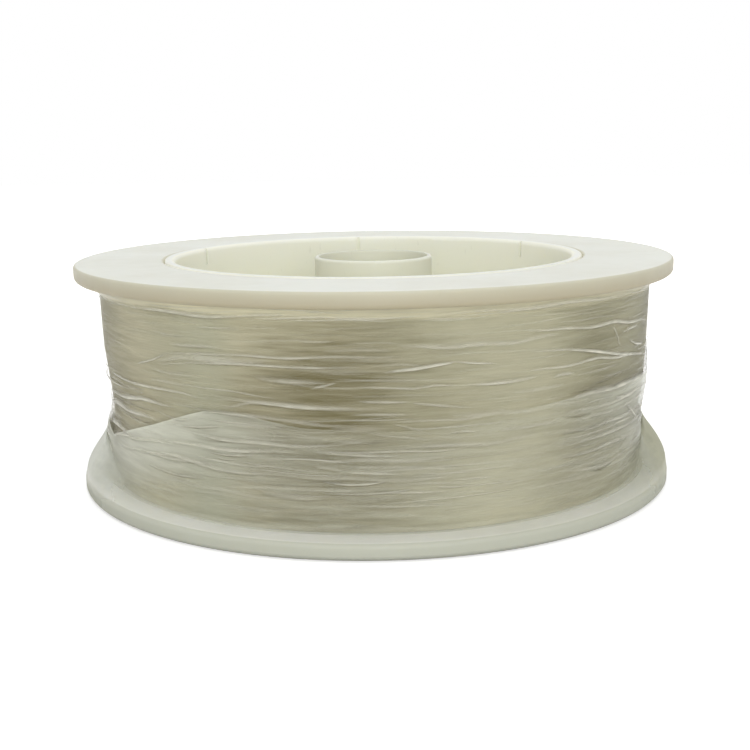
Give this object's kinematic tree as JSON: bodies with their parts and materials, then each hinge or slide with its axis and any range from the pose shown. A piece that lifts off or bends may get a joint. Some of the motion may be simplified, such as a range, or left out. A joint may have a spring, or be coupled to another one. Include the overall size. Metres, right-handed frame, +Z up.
{
  "type": "fishing line spool",
  "caption": "Large flanged spool with a webbed hub and a hollow drum, full of clear fishing line under wrinkled stretch film.",
  "frame": {"origin": "on the spool's axis, in the plane that the drum's lower lip rests on", "axes": "+Z up along the spool's axis, from the lower flange to the upper one; +X to the right and +Y away from the viewer who faces the film's overlap"},
  "size_m": [0.2, 0.2, 0.0749],
  "materials": {
    "flange_plastic": "natural white moulded plastic, smooth satin",
    "drum_plastic": "natural white moulded plastic, smooth satin",
    "hub_plastic": "natural white moulded plastic, smooth satin",
    "nylon_line": "closely wound clear nylon monofilament",
    "clear_film": "clear stretch film, wrinkled, several layers"
  },
  "bodies": {
    "root": {"lower_flange": "flange_plastic", "upper_flange": "flange_plastic", "winding_drum": "drum_plastic", "hub_spider": "hub_plastic", "line_winding": "nylon_line", "stretch_film": "clear_film"}
  },
  "joints": []
}
